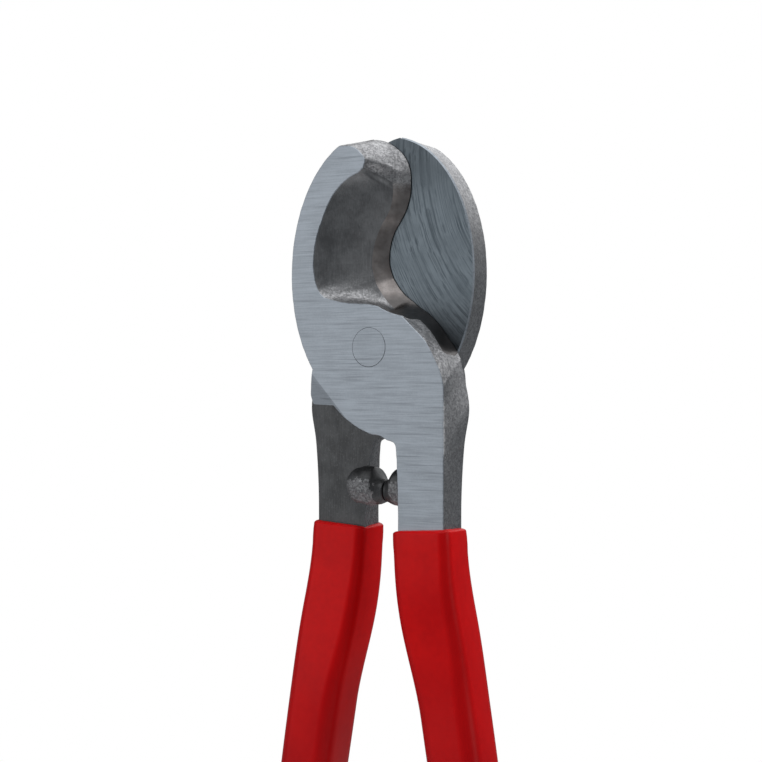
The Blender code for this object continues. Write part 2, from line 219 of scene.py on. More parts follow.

# %% [markdown]
# ## Steel finishes
#
# The same steel shows several finishes. The outer faces were ground flat on a belt, which leaves fine lines
# across the tool. Walls, nose and stops keep the blasted skin of the forge, grey and sparkling. In the
# hollow and down the hidden side of each shank it is still covered by a thin, dark, even scale; in the hollow
# the blasted skin is painted on wherever the surface faces up, a painted highlight of the light above. The
# shear faces were ground by a cup wheel, whose teeth leave long slanting arcs, and the bevel behind the edge
# was honed smooth. All are fully metallic, so they differ only in tint, roughness and relief. Stretching a
# noise along one direction turns its lumps into grinding lines, which is why one noise node can stand for a
# whole belt.

# %% Belt-ground face
def ground_steel(name, tint):
    made = Finish(name, Metallic=1.0)
    tilt = math.radians(3.0)
    fine = made.grain(0.26, detail=3.0, place=made.place((0.03, 0.3, 1.0), (0, tilt, 0)))
    wide = made.grain(0.6, detail=3.0, roughness=0.6, place=made.place((0.05, 0.3, 1.0), (0, 0.6 * tilt, 0)))
    score = made.grain(0.55, detail=1.0, place=made.place((0.03, 0.3, 1.0), (0, 1.5 * tilt, 0)))
    clouds = made.grain(7.0, detail=4.0, roughness=0.6)
    speckle = made.grain(0.5, detail=2.0)
    scored = score.between(0.60, 0.74)
    tone = (fine * 0.5 + wide * 0.35 + clouds * 0.35 + speckle * 0.15).between(0.45, 0.90)
    dark = [0.78 * value for value in tint]
    light = [1.16 * value for value in tint]
    worn = made.blend(tone, dark, light)
    made.feed("Base Color", made.blend(scored * 0.55, worn, [0.62 * value for value in tint]))
    made.feed("Roughness", 0.36 + fine * 0.10 + clouds * 0.08)
    made.bump(fine * 0.5 + wide * 0.6 - scored * 0.5, 0.02)
    return made.material


GROUND_TINT = (0.318, 0.350, 0.388)
ground_face = ground_steel("belt_ground_face", GROUND_TINT)
# The heel's sloping facet gets a darker copy of the ground face, painted shade where it turns away from the
# light.
heel_face_painted_shade = ground_steel("belt_ground_heel_painted_shade", [0.76 * value for value in GROUND_TINT])
rivet_face = ground_steel("belt_ground_rivet", [0.97 * value for value in GROUND_TINT])
print("made", ground_face.name, heel_face_painted_shade.name, rivet_face.name)

# %% Forge skin, blasted or still under its scale
BLASTED_DARK = (0.208, 0.208, 0.216)
BLASTED_LIGHT = (0.415, 0.418, 0.427)
SCALE_DARK = (0.066, 0.067, 0.069)
SCALE_LIGHT = (0.108, 0.110, 0.113)


def forge_skin(name, scaled, blast_shade=1.0, scale_shade=1.0, dull=0.50):
    """scaled: 0 for blasted, 1 for scale, or None for scale with the blasted skin painted on, as a painted
    highlight, wherever the surface faces up.
    """
    made = Finish(name, Metallic=1.0)
    blast = made.grain(0.55, detail=3.0, roughness=0.7)
    pits = made.grain(1.5, detail=2.0)
    patches = made.grain(6.0, detail=4.0, roughness=0.6)
    cells = made.node("ShaderNodeTexVoronoi", {"feature": "F1"}, {"Vector": made.place(), "Scale": 2.3})
    split = made.node("ShaderNodeSeparateColor", None, {"Color": made.wire(cells, "Color")})
    facet = made.wire(split, "Red")
    tone = (blast * 0.6 + pits * 0.3 + facet * 0.25).between(0.40, 0.80)
    blasted = made.blend(tone, [blast_shade * value for value in BLASTED_DARK],
                         [blast_shade * value for value in BLASTED_LIGHT])
    scratch = made.grain(0.28, detail=2.0, place=made.place((1.0, 1.0, 0.07), (0.2, 0.5, 0.1)))
    scale_tone = (patches * 0.7 + scratch * 0.3 + blast * 0.15).between(0.40, 0.75)
    flecks = (facet * 0.35 + blast * 0.8).between(0.66, 0.86)
    scale = made.blend(scale_tone, [scale_shade * value for value in SCALE_DARK],
                       [scale_shade * value for value in SCALE_LIGHT])
    scale = made.blend(flecks * 0.07, scale, BLASTED_LIGHT)
    if scaled is None:
        # Painted highlight: the blasted skin shows through the scale wherever the surface faces up, as if lit
        # from above.
        up = made.wire(made.node("ShaderNodeSeparateXYZ", None,
                                 {0: made.wire(made.node("ShaderNodeTexCoord"), "Normal")}), "Z")
        cover = 1.0 - (up + blast * 0.35 + patches * 0.25).between(0.36, 0.86)
        made.feed("Base Color", made.blend(cover, blasted, scale))
        made.feed("Roughness", 0.46 - facet * 0.10 + patches * 0.06)
        made.bump(blast * (1.15 - cover) + pits * 0.3, 0.06)
    elif scaled:
        made.feed("Base Color", scale)
        made.feed("Roughness", 0.46 + patches * 0.10)
        made.bump(blast * 0.25 + pits * 0.3, 0.05)
    else:
        made.feed("Base Color", blasted)
        made.feed("Roughness", dull - facet * 0.14 + patches * 0.06)
        made.bump(blast * 0.9 + pits * 0.3 + facet * 0.15, 0.06)
    return made.material


blasted_skin = forge_skin("blasted_skin", 0)
scale_skin = forge_skin("scale_skin", 1, scale_shade=0.98)
# In the hollow the blasted skin is a painted highlight where the surface faces up, and the scale is drawn 2.2
# times as light as on the shank.
hollow_skin_painted_highlight = forge_skin("hollow_skin_painted_highlight", None, blast_shade=1.0, scale_shade=2.2)
# A darker copy of the blasted skin: painted shade on the bosses and down the shank's inner walls.
stop_skin_painted_shade = forge_skin("stop_skin_painted_shade", 0, blast_shade=0.78, dull=0.66)
print("made", blasted_skin.name, scale_skin.name, hollow_skin_painted_highlight.name)

# %% Cup-ground shear face
ARC_CENTRE = (-64.0, 0.0, 48.0)
CUP_DARK = (0.066, 0.081, 0.094)
CUP_LIGHT = (0.185, 0.217, 0.242)
CUP_PAINTED_SHADE = (0.03, 0.032, 0.036)  # painted shade low in the vee beside the joint, and more lightly towards the top of the jaw


def cup_ground():
    made = Finish("cup_ground_face", Metallic=1.0)
    apart = made.node("ShaderNodeVectorMath", {"operation": "DISTANCE"}, {0: made.place(), 1: ARC_CENTRE})
    wander = made.grain(9.0, detail=1.0)
    radius = made.wire(apart, "Value") + wander * 0.8
    along = made.grain(7.0, detail=1.0) * 1.6
    across = made.wire(made.node("ShaderNodeCombineXYZ", None, {"X": radius, "Y": along}))
    fine = made.grain(0.30, detail=3.0, roughness=0.7, place=across)
    coarse = made.grain(0.62, detail=2.0, place=across)
    patches = made.grain(5.0, detail=4.0, roughness=0.6)
    depth = made.grain(8.0, detail=2.0).between(0.40, 0.60)
    scored = (fine * 0.45 + coarse * 0.55).between(0.36, 0.56)
    lines = (scored - 0.60) * (0.30 + depth * 0.60)
    tone = (lines * 0.50 + fine * 0.22 + patches * 0.34 + 0.25).between(0.15, 0.92)
    slate = made.blend(tone, CUP_DARK, CUP_LIGHT)
    height = made.wire(made.node("ShaderNodeSeparateXYZ", None, {0: made.place()}), "Z")
    # Painted shade: the slate is darkened low in the vee beside the joint, and more lightly towards the top
    # of the jaw.
    painted_low_shade = 1.0 - (height + patches * 7.0).between(3.0, 21.0)
    tip = (height + patches * 6.0).between(36.0, 52.0)
    made.feed("Base Color", made.blend(painted_low_shade * 0.75 + tip * 0.30, slate, CUP_PAINTED_SHADE))
    made.feed("Roughness", 0.34 + patches * 0.12 + fine * 0.08)
    made.bump(fine * 0.5 + coarse * 0.5, 0.028)
    return made.material


cup_face = cup_ground()
print("made", cup_face.name)

# %% Honed bevel
HONED_DARK = (0.195, 0.174, 0.167)
HONED_LIGHT = (0.335, 0.310, 0.300)
HONED_PAINTED_GLINT = (0.19, 0.18, 0.177)
HONED_PAINTED_SHADE = (0.05, 0.05, 0.051)
NOSE_FROM = 40.0
NOSE_TO = 45.5


def honed():
    made = Finish("honed_bevel", Metallic=1.0)
    lines = made.grain(0.3, detail=3.0, place=made.place((1.0, 0.12, 0.12)))
    patches = made.grain(3.0, detail=2.0)
    blast = made.grain(0.5, detail=3.0, roughness=0.7)
    smooth = made.blend(patches.between(0.2, 0.8), HONED_DARK, HONED_LIGHT)
    blasted = made.blend(blast.between(0.35, 0.65), BLASTED_DARK, BLASTED_LIGHT)
    height = made.wire(made.node("ShaderNodeSeparateXYZ", None, {0: made.place()}), "Z")
    nose = (height + patches * 2.0 + blast * 1.5).between(NOSE_FROM, NOSE_TO)
    # Painted highlight: a band low on the bevel, where it turns up towards the light above, is speckled with
    # a fixed grey.
    sparkling = 1.0 - (height + patches * 3.0).between(18.0, 22.0)
    smooth = made.blend(sparkling * blast.between(0.40, 0.62) * 0.5, smooth, HONED_PAINTED_GLINT)
    # Painted shade low on the bevel, down in the throat beside the joint.
    painted_low_shade = 1.0 - (height + patches * 2.0).between(12.5, 16.0)
    smooth = made.blend(painted_low_shade * 0.75, smooth, HONED_PAINTED_SHADE)
    made.feed("Base Color", made.blend(nose, smooth, blasted))
    made.feed("Roughness", 0.26 + patches * 0.08 + lines * 0.06 + nose * 0.14)
    made.bump(lines * 0.15 + blast * nose, 0.06)
    return made.material


honed_bevel = honed()
GROUND, HEEL, BLASTED, STOP, HOLLOW, SCALE, HONED, CUP = range(8)
lever_finishes = (ground_face, heel_face_painted_shade, blasted_skin, stop_skin_painted_shade, hollow_skin_painted_highlight, scale_skin, honed_bevel,
                  cup_face)
print("made", honed_bevel.name, "so a lever has", len(lever_finishes), "finishes")

# %% [markdown]
# ## Curves
#
# Each outline is drawn as a few points with a smooth curve through them, like a ship's batten bent round
# pins. A Catmull-Rom curve passes through every pin, so a measured point stays where it was measured.

# %% A curve through points
def spline(points, count):
    """Count points of a smooth curve through the given ones, without the last one."""
    points = [Vector(point) for point in points]
    ends = [2 * points[0] - points[1], *points, 2 * points[-1] - points[-2]]
    spans = len(points) - 1
    made = []
    for step in range(count):
        at = step * spans / count
        i = min(int(at), spans - 1)
        t = at - i
        a, b, c, d = ends[i:i + 4]
        made.append(0.5 * (2 * b + t * (c - a) + t * t * (2 * a - 5 * b + 4 * c - d)
                           + t * t * t * (3 * b - a - 3 * c + d)))
    return made


def smooth_step(t):
    t = max(0.0, min(1.0, t))
    return t * t * (3 - 2 * t)


print("a curve of", len(spline([(0, 0), (1, 1), (2, 0)], 8)), "points")

# %% [markdown]
# ## The lever's two outlines
#
# A forging leaves its die with sloping walls, so its outline at the ground face differs from the one at the
# shear face, and on the hooked side the second one is the cutting edge. We walk round both in matched
# stretches: down the back of the jaw, round the heel and the belly, down and up the shank, over the joint,
# and then through the throat and the hook to the tip.

# %% The jaw's back is part of an ellipse
JAW_HALF_WIDTH = 24.1
JAW_HALF_HEIGHT = 35.3
JAW_CENTRE = 18.8
JAW_DRAFT = 1.2
BACK_END = -43.5
FACE_BACK_START = 68.0
EDGE_BACK_START = 81.0


def on_ellipse(half_width, degrees):
    angle = math.radians(degrees)
    return Vector((-half_width * math.cos(angle), JAW_CENTRE + JAW_HALF_HEIGHT * math.sin(angle)))


def jaw_back(half_width, start, count):
    return [on_ellipse(half_width, start + (BACK_END - start) * step / count) for step in range(count)]


face_tip = on_ellipse(JAW_HALF_WIDTH, FACE_BACK_START)
face_waist = on_ellipse(JAW_HALF_WIDTH, BACK_END)
edge_tip = on_ellipse(JAW_HALF_WIDTH + JAW_DRAFT, EDGE_BACK_START)
edge_waist = on_ellipse(JAW_HALF_WIDTH + JAW_DRAFT, BACK_END)
print("the tip is", round(edge_tip.y, 1), "mm above the rivet")

# %% All stretches, at the ground face and at the shear face
SHANK_FOOT = GRIP_LIP + 3.5  # the ground shank runs on a little way inside the grip
FACE_PINS = {
    "heel": [face_waist, (-17.9, -8.0), (-18.3, -12.0), (-17.6, -14.5)],
    "heel_foot": [(-17.6, -14.5), (-10.9, -14.8)],
    "belly": [(-10.9, -14.8), (-7.5, -17.9), (-4.1, -20.0), (0.1, -21.8), (3.1, -22.3), (5.4, -23.4)],
    "inner_shank": [(5.4, -23.4), (7.1, -23.8), (7.9, -25.0), (8.15, -27.6), (8.3, -31.0), (8.5, -36.6),
                    (8.6, -45.0), (8.6, -SHANK_FOOT)],
    "foot": [(8.6, -SHANK_FOOT), (21.9, -SHANK_FOOT)],
    "outer_shank": [(21.9, -SHANK_FOOT), (21.9, -36.6), (21.9, -16.0), (21.9, -9.6)],
    "joint": [(21.9, -9.6), (21.2, -6.9), (19.8, -4.0), (17.3, 0.5), (15.5, 2.6), (12.6, 5.2), (9.9, 7.7)],
    "throat": [(9.9, 7.7), (6.5, 8.6), (4.0, 9.6), (2.2, 10.4), (-1.1, 11.0), (-5.6, 11.3), (-10.3, 12.0),
               (-13.8, 13.0)],
    "hook": [(-13.8, 13.0), (-15.7, 15.0), (-16.8, 18.8), (-17.0, 22.7), (-16.2, 27.8), (-14.3, 32.8),
             (-11.8, 37.8), (-8.7, 41.2), (-5.7, 43.2), (-3.2, 44.2), (-1.7, 45.3)],
    "tip": [(-1.7, 45.3), (-1.2, 47.4), (-2.5, 49.2), (-5.0, 51.0), face_tip],
}
EDGE_PINS = {
    "heel": [edge_waist, (-18.6, -8.0), (-18.8, -12.0), (-18.3, -14.6)],
    "heel_foot": [(-18.3, -14.6), (-10.9, -15.2)],
    "belly": [(-10.9, -15.2), (-7.7, -18.5), (-4.2, -20.8), (-0.1, -22.5), (2.4, -23.1), (4.4, -23.9)],
    "inner_shank": [(4.4, -23.9), (5.5, -27.4), (6.2, -31.0), (6.7, -36.6), (7.3, -45.0),
                    (7.5, -SHANK_FOOT)],
    "foot": [(7.5, -SHANK_FOOT), (22.0, -SHANK_FOOT)],
    "outer_shank": [(22.0, -SHANK_FOOT), (22.1, -36.6), (22.9, -24.5), (24.3, -15.5), (23.0, -8.0),
                    (21.7, -3.1)],
    "joint": [(21.7, -3.1), (20.1, -0.4), (18.0, 2.3), (15.0, 6.0), (12.0, 8.6), (10.6, 9.5)],
    "throat": [(10.6, 9.5), (9.4, 10.3), (7.5, 11.7), (5.3, 13.3), (3.4, 15.3), (1.6, 17.9)],
    "hook": [(1.6, 17.9), (0.6, 21.0), (0.5, 23.9), (1.1, 27.1), (2.3, 29.9), (4.0, 32.4), (5.4, 34.7),
             (6.4, 37.3), (6.9, 39.6), (7.0, 41.8)],
    "tip": [(7.0, 41.8), (6.9, 44.2), (6.2, 46.7), (4.8, 49.0), (2.8, 50.9), (0.3, 52.5),
            (-1.6, 53.2), edge_tip],
}
STATIONS = {"back": 64, "heel": 16, "heel_foot": 8, "belly": 28, "inner_shank": 30, "foot": 10,
            "outer_shank": 40, "joint": 40, "throat": 52, "hook": 84, "tip": 44}


def walk_round(back, pins):
    line = list(back)
    for stretch, count in STATIONS.items():
        if stretch != "back":
            line += spline(pins[stretch], count)
    return line


face_line = walk_round(jaw_back(JAW_HALF_WIDTH, FACE_BACK_START, STATIONS["back"]), FACE_PINS)
edge_line = walk_round(jaw_back(JAW_HALF_WIDTH + JAW_DRAFT, EDGE_BACK_START, STATIONS["back"]), EDGE_PINS)
stretch_at = [stretch for stretch, count in STATIONS.items() for _ in range(count)]
share_at = [step / count for count in STATIONS.values() for step in range(count)]
print(len(face_line), "stations round the lever")

# %% [markdown]
# ## Between the outlines
#
# At each station a short profile joins the ground face to the shear face. On the outside it is a plain
# drafted wall. Round the joint the wall drops straight to a honed strip. In the hook it falls steeply,
# flattens into the hollow's floor and ends in the honed bevel, and at the tip it swells into a blunt nose.
# The bevel was cut by a round wheel, which runs out through the ground face at the throat.

# %% Where the bevel starts
NOSE_OPENS = 0.2  # share of the tip stretch over which the bevel's top moves onto the nose
BEVEL_HEIGHT = 3.0
STRIP_HEIGHT = 5.0
NARROW_BEVEL = 2.6
WIDE_BEVEL = 3.6
EDGE_LAND = 0.35  # small ground chamfer round the rest of the shear face
STRIP_SHARE = 0.55
FULL_HEIGHT = OUTER_FACE - 0.5


def inward(line, i):
    """Unit vector into the metal at a station."""
    along = line[(i + 1) % len(line)] - line[i - 1]
    return Vector((-along.y, along.x)).normalized()


def run_out(stretch, share):
    """1 where the wheel has cut right through to the ground face, and 0 where the bevel has its own top."""
    if stretch == "throat":
        return 1 - smooth_step((share - 0.12) / 0.45)
    if stretch == "joint":
        return smooth_step((share - 0.78) / 0.22)
    return 0.0


def bevel_width(stretch, share):
    if stretch == "hook":
        middle = 0.5 + 0.5 * math.cos(2 * math.pi * share)
        return NARROW_BEVEL + (WIDE_BEVEL - NARROW_BEVEL) * middle
    return WIDE_BEVEL


def bevel_top(i):
    """The top of the bevel at a station, and its height above the shear face."""
    stretch, share = stretch_at[i], share_at[i]
    face, edge = face_line[i], edge_line[i]
    through = run_out(stretch, share)
    if stretch == "joint":
        height = (STRIP_HEIGHT + (FULL_HEIGHT - STRIP_HEIGHT) * through) * smooth_step(share / 0.35)
        across = 1 - (1 - STRIP_SHARE) * smooth_step(share / 0.35)
        return face.lerp(edge, across * (1 - through)), max(height, EDGE_LAND + SHEAR_FACE)
    if stretch not in ("throat", "hook", "tip"):
        return edge, EDGE_LAND + SHEAR_FACE
    cut_top = edge + inward(edge_line, i) * bevel_width(stretch, share)
    if stretch == "tip":  # the nose is one surface, so the bevel's top lies on the straight line across it
        across_nose = edge.lerp(face, BEVEL_HEIGHT / OUTER_FACE)
        return cut_top.lerp(across_nose, smooth_step(share / NOSE_OPENS)), BEVEL_HEIGHT
    return cut_top.lerp(face, through), BEVEL_HEIGHT + (FULL_HEIGHT - BEVEL_HEIGHT) * through


tops = [bevel_top(i) for i in range(len(face_line))]
print("bevel heights from", round(min(height for _, height in tops), 2), "to",
      round(max(height for _, height in tops), 2), "mm")

# %% Rings from the ground face to the shear face
WALL_LAYERS = 14
BEVEL_LAYERS = 5
FACE_ROUNDING = 0.16
SKIN_RELIEF = 0.11  # how far the forged skin strays in or out


def wall_shape(stretch, share, t):
    """How far along the plan and how deep a wall has gone at t, each from 0 to 1."""
    angle = t * math.pi / 2
    steep = 0.22
    if stretch == "hook":
        steep = 0.22 + 0.28 * (1 - smooth_step((1 - share) / 0.12))
    elif stretch == "tip":
        steep = 0.5
    dug = (steep * (1 - math.cos(angle)) + (1 - steep) * t, steep * math.sin(angle) + (1 - steep) * t)
    swollen = (0.32 * math.sin(angle) + 0.68 * t, 0.32 * (1 - math.cos(angle)) + 0.68 * t)
    plain = (t, t)
    if stretch == "tip":
        part = smooth_step(share / 0.24) * (1 - smooth_step((share - 0.75) / 0.25))
        start = dug if share < 0.4 else plain
        return [start[k] + (swollen[k] - start[k]) * part for k in (0, 1)]
    if stretch in ("throat", "hook"):
        return dug
    return plain


def skin_relief(at, y):
    """How far the forged skin lies inside its ideal surface at a place."""
    place = Vector((at.x, y, at.y))
    return SKIN_RELIEF * (0.5 + 0.6 * noise.noise(place * 0.55) + 0.4 * noise.noise(place * 1.9))


def lever_rings():
    rings = [[] for _ in range(2 + WALL_LAYERS + BEVEL_LAYERS + 1)]
    for i, (face, edge) in enumerate(zip(face_line, edge_line)):
        stretch, share = stretch_at[i], share_at[i]
        top, height = tops[i]
        into = inward(face_line, i)
        start = face + into * (FACE_ROUNDING + skin_relief(face, -OUTER_FACE))
        rings[0].append((start.x, -OUTER_FACE, start.y))
        wall_top = OUTER_FACE - FACE_ROUNDING
        drop = wall_top - height
        for layer in range(WALL_LAYERS + 1):
            plan, depth = wall_shape(stretch, share, layer / WALL_LAYERS)
            y = -wall_top + drop * depth
            calm = 1 - smooth_step(layer / WALL_LAYERS * 2 - 1)
            at = face.lerp(top, plan) + into * skin_relief(face.lerp(top, plan), y) * calm
            rings[1 + layer].append((at.x, y, at.y))
        hooked = stretch in ("joint", "throat", "hook", "tip")
        last = edge if hooked else edge + inward(edge_line, i) * EDGE_LAND
        for layer in range(1, BEVEL_LAYERS + 1):
            t = layer / BEVEL_LAYERS
            at = top.lerp(last, t)
            hollowed = 0.08 * height * math.sin(math.pi * t) if hooked else 0.0
            rings[1 + WALL_LAYERS + layer].append(
                (at.x, -height + (height - SHEAR_FACE) * t + hollowed, at.y))
    return [ring for ring in rings if ring]


rings = lever_rings()
print(len(rings), "rings of", len(rings[0]))

# %% [markdown]
# ## Skinning the rings
#
# `skin` turns rings of points into a closed mesh. It takes a material index for each quad, so that every
# finish ends exactly where its own surface does.

# %% Skin rings into a mesh
SMOOTH_ANGLE = math.radians(32)


def skin(name, rings, finish_of=lambda row, column: 0, caps=(0, 0), materials=lever_finishes):
    """A closed mesh object, in millimetres round the rivet, through rings of equal length."""
    count = len(rings[0])
    points = [point for ring in rings for point in ring]
    faces, finishes = [], []
    for row in range(len(rings) - 1):
        for column in range(count):
            after = (column + 1) % count
            faces.append((row * count + column, row * count + after,
                          (row + 1) * count + after, (row + 1) * count + column))
            finishes.append(finish_of(row, column))
    faces.append(tuple(range(count - 1, -1, -1)))
    faces.append(tuple((len(rings) - 1) * count + column for column in range(count)))
    finishes += caps
    data = bpy.data.meshes.new(name)
    data.from_pydata(points, [], faces)
    return linked(name, dressed(data, materials, finishes))


def dressed(data, materials, finishes):
    """Gives a mesh its materials, and each face its own."""
    for material in materials:
        data.materials.append(material)
    data.polygons.foreach_set("material_index", finishes)
    return data


def linked(name, data):
    made = bpy.data.objects.new(name, data)
    bpy.context.scene.collection.objects.link(made)
    return made


def outward(data):
    """Turns the faces outwards if the mesh is inside out."""
    volume = 0.0
    data.calc_loop_triangles()
    for triangle in data.loop_triangles:
        a, b, c = (data.vertices[index].co for index in triangle.vertices)
        volume += a.dot(b.cross(c))
    if volume < 0:
        data.flip_normals()


def lever_finish(row, column):
    stretch, share = stretch_at[column], share_at[column]
    if row == 0:
        return GROUND
    if row <= WALL_LAYERS:
        # Painted shade: the walls under the belly take the dark scale, and those down the shank's inner side
        # the darker stop skin.
        if stretch in ("belly", "inner_shank"):
            return SCALE if stretch == "belly" else STOP
        return HOLLOW if stretch in ("throat", "hook") else BLASTED
    if stretch in ("throat", "hook") or (stretch == "joint" and share > 0.1):
        return HONED
    return BLASTED if stretch in ("tip", "joint") else GROUND


plate = skin("lever_plate", rings, lever_finish, (GROUND, CUP))
outward(plate.data)
print(len(plate.data.polygons), "faces on the plate")

# %% [markdown]
# ## Rivet hole
#
# The hole is cut with a Boolean and a cutter turned to the rivet's own profile, a straight body with a
# countersink at each outer face. A hair of room is left, which reads as the fine ring round the rivet's
# head.

# %% Turned shapes and the hole
RIVET_BODY = 4.2
RIVET_HEAD = 4.95
COUNTERSINK = 1.6
RING_GAP = 0.06
RIVET_SIDES = 96


def turned(name, profile, axis, sides, materials=lever_finishes):
    """A solid of revolution about X or Y, from (distance along it, radius) pairs."""
    made = []
    for along, radius in profile:
        ring = []
        for step in range(sides):
            angle = 2 * math.pi * step / sides
            across, up = radius * math.cos(angle), radius * math.sin(angle)
            ring.append((along, across, up) if axis == "X" else (across, along, up))
        made.append(ring)
    shape = skin(name, made, materials=materials)
    outward(shape.data)
    return shape


def refinished(shape, finish):
    """Gives every face of a shape one of the lever's finishes."""
    for polygon in shape.data.polygons:
        polygon.material_index = finish
    return shape


def cut(target, tool):
    """Takes the tool's shape out of the target; the new faces keep the tool's finish."""
    modifier = target.modifiers.new("cut", "BOOLEAN")
    modifier.operation = "DIFFERENCE"
    modifier.object = tool
    bpy.context.view_layer.update()
    graph = bpy.context.evaluated_depsgraph_get()
    target.data = bpy.data.meshes.new_from_object(target.evaluated_get(graph))
    target.modifiers.clear()
    bpy.data.objects.remove(tool)


half_cut = [(OUTER_FACE - COUNTERSINK, RIVET_BODY + RING_GAP), (OUTER_FACE, RIVET_HEAD + RING_GAP),
            (OUTER_FACE + 1, RIVET_HEAD + RING_GAP)]
hole = turned("hole", [(-along, radius) for along, radius in reversed(half_cut)] + half_cut, "Y", RIVET_SIDES)
cut(plate, refinished(hole, SCALE))
print(len(plate.data.polygons), "faces after the hole")

# %% [markdown]
# ## Where the wheels didn't reach
#
# The shear face was ground only where the two levers meet, so the shank's hidden side lies a little lower
# and keeps its scale. The outer face has a low spot too: the heel's corner falls away under the belt.

# %% Low side of the shank and low corner of the heel
RECESS = 0.3
RECESS_PINS = [(32.0, -12.6), (18.3, -13.8), (11.2, -14.4), (8.2, -17.3), (4.2, -20.2), (0.0, -21.6),
               (-4.6, -22.9), (-12.0, -25.0)]
HEEL_CUT_FROM = Vector((-15.5, -8.8))
HEEL_CUT_TO = Vector((-9.9, -14.8))
HEEL_SLOPE = math.radians(9)


def slab(name, outline, near, far):
    """A flat block between two depths, with an outline in x and z."""
    made = skin(name, [[(at.x, near, at.y) for at in outline], [(at.x, far, at.y) for at in outline]])
    outward(made.data)
    return made


def shank_recess():
    below = [Vector((-12.0, -70.0)), Vector((32.0, -70.0))]
    outline = spline(RECESS_PINS, 60) + [Vector(RECESS_PINS[-1])] + below
    return refinished(slab("recess", outline, -SHEAR_FACE - RECESS, 1.0), SCALE)


def heel_facet():
    """A block whose inner side is the sloping facet."""
    along = (HEEL_CUT_TO - HEEL_CUT_FROM).normalized()
    away = Vector((-abs(along.y), -abs(along.x)))
    reach = 14.0
    corners = [HEEL_CUT_FROM - along * reach, HEEL_CUT_TO + along * reach]
    top_edge = [Vector((at.x, -OUTER_FACE, at.y)) for at in corners]
    sunk = Vector((away.x * reach, math.tan(HEEL_SLOPE) * reach, away.y * reach))
    lower_edge = [at + sunk for at in top_edge]
    front = Vector((0, -4, 0))
    ring = [top_edge[0], top_edge[1], lower_edge[1], lower_edge[0]]
    made = skin("heel_cut", [[tuple(at + front) for at in ring], [tuple(at) for at in ring]])
    outward(made.data)
    return refinished(made, HEEL)


cut(plate, shank_recess())
cut(plate, heel_facet())
print(len(plate.data.polygons), "faces after the low spots")

# %% [markdown]
# ## Closing stop
#
# Each shank carries a forged boss whose nose meets its twin on the centre line. It is turned as a profile
# and then roughened a little, since nothing on it was machined except the nose.

# %% The boss
STOP_DROP = 36.6
STOP_PROFILE = [(0.15, 2.0), (0.16, 2.7), (0.45, 2.95), (1.0, 3.15), (1.8, 3.6), (2.6, 4.1), (3.4, 4.45),
                (4.6, 4.6), (6.2, 4.6), (7.8, 4.45), (9.2, 4.1), (10.3, 3.5), (11.1, 2.6), (11.6, 1.4),
                (11.7, 0.4)]
STOP_RISE = 0.32  # the boss is fuller above its axis
STOP_SINK = 0.16
DARK_TOP_LINE = 2.6  # the boss is drawn dark above this height over its axis


def stop_boss():
    pins = spline(STOP_PROFILE, 60) + [Vector(STOP_PROFILE[-1])]
    made = turned("stop_boss", pins, "X", 72)
    for vertex in made.data.vertices:
        reach = smooth_step((vertex.co.x - 0.8) / 3.0)
        spread = Vector((0, vertex.co.y, vertex.co.z))
        if spread.length < 0.5:
            continue
        up = spread.normalized().z
        fuller = STOP_RISE * smooth_step(up) - STOP_SINK * smooth_step(-up + 0.5)
        rough = noise.noise(vertex.co * 0.5) * 0.30 + noise.noise(vertex.co * 1.6) * 0.12
        vertex.co += spread * fuller * reach + spread.normalized() * rough * reach
    # The boss is drawn dark above its axis and near its root.
    for polygon in made.data.polygons:
        wave = noise.noise(polygon.center * 0.8) * 1.2
        scaled = polygon.center.z > DARK_TOP_LINE + wave or polygon.center.x < 2.6 + wave
        polygon.material_index = SCALE if scaled else STOP
    made.data.transform(Matrix.Translation((0, 0, -STOP_DROP)))
    return made


boss = stop_boss()
print("boss", round(boss.dimensions.x, 1), "mm long")

# %% [markdown]
# ## The handle's line
#
# Below the shank the handle bows outwards and steps to the tool's middle plane. Both the steel inside and
# the vinyl over it follow one centre line, so the line and its sections are written once.

# %% Centre line and sections of the handle
GRIP_LENGTH = GRIP_END - GRIP_LIP
SHANK_MIDDLE = (FACE_PINS["foot"][0][0] + FACE_PINS["foot"][1][0]) / 2
HANDLE_BOW = ((0.0, 0.0), (0.16, 1.4), (0.44, 7.5), (0.74, 14.4), (1.0, 16.9))
HANDLE_SECTIONS = (  # share of the length, half width, half depth and corner radius of the steel
    (0.00, 6.35, 4.12, 0.8),
    (0.16, 6.6, 5.0, 1.4),
    (0.33, 5.9, 5.4, 2.4),
    (0.60, 5.7, 5.5, 2.7),
    (1.00, 6.0, 5.5, 2.7),
)
LEVELLING = 0.33  # share of the length over which the handle steps to the middle plane
END_ROUNDING = 4.0
ROUNDING_SHARE = 1 - END_ROUNDING / GRIP_LENGTH
SQUARE_END = 0.1  # share at each end over which the rings turn level
LEAN_REACH = 0.01
LEAST_CORNER = 0.3
BOW_POINTS = 96
CORNER_SIDES = 8
bow_line = spline(HANDLE_BOW, BOW_POINTS) + [Vector(HANDLE_BOW[-1])]


def bow_at(share):
    for low, high in zip(bow_line, bow_line[1:]):
        if share <= high.x:
            return low.y + (high.y - low.y) * (share - low.x) / (high.x - low.x)
    return bow_line[-1].y


def section_at(share):
    for low, high in zip(HANDLE_SECTIONS, HANDLE_SECTIONS[1:]):
        if share <= high[0]:
            t = smooth_step((share - low[0]) / (high[0] - low[0]))
            return [a + (b - a) * t for a, b in zip(low[1:], high[1:])]
    return HANDLE_SECTIONS[-1][1:]


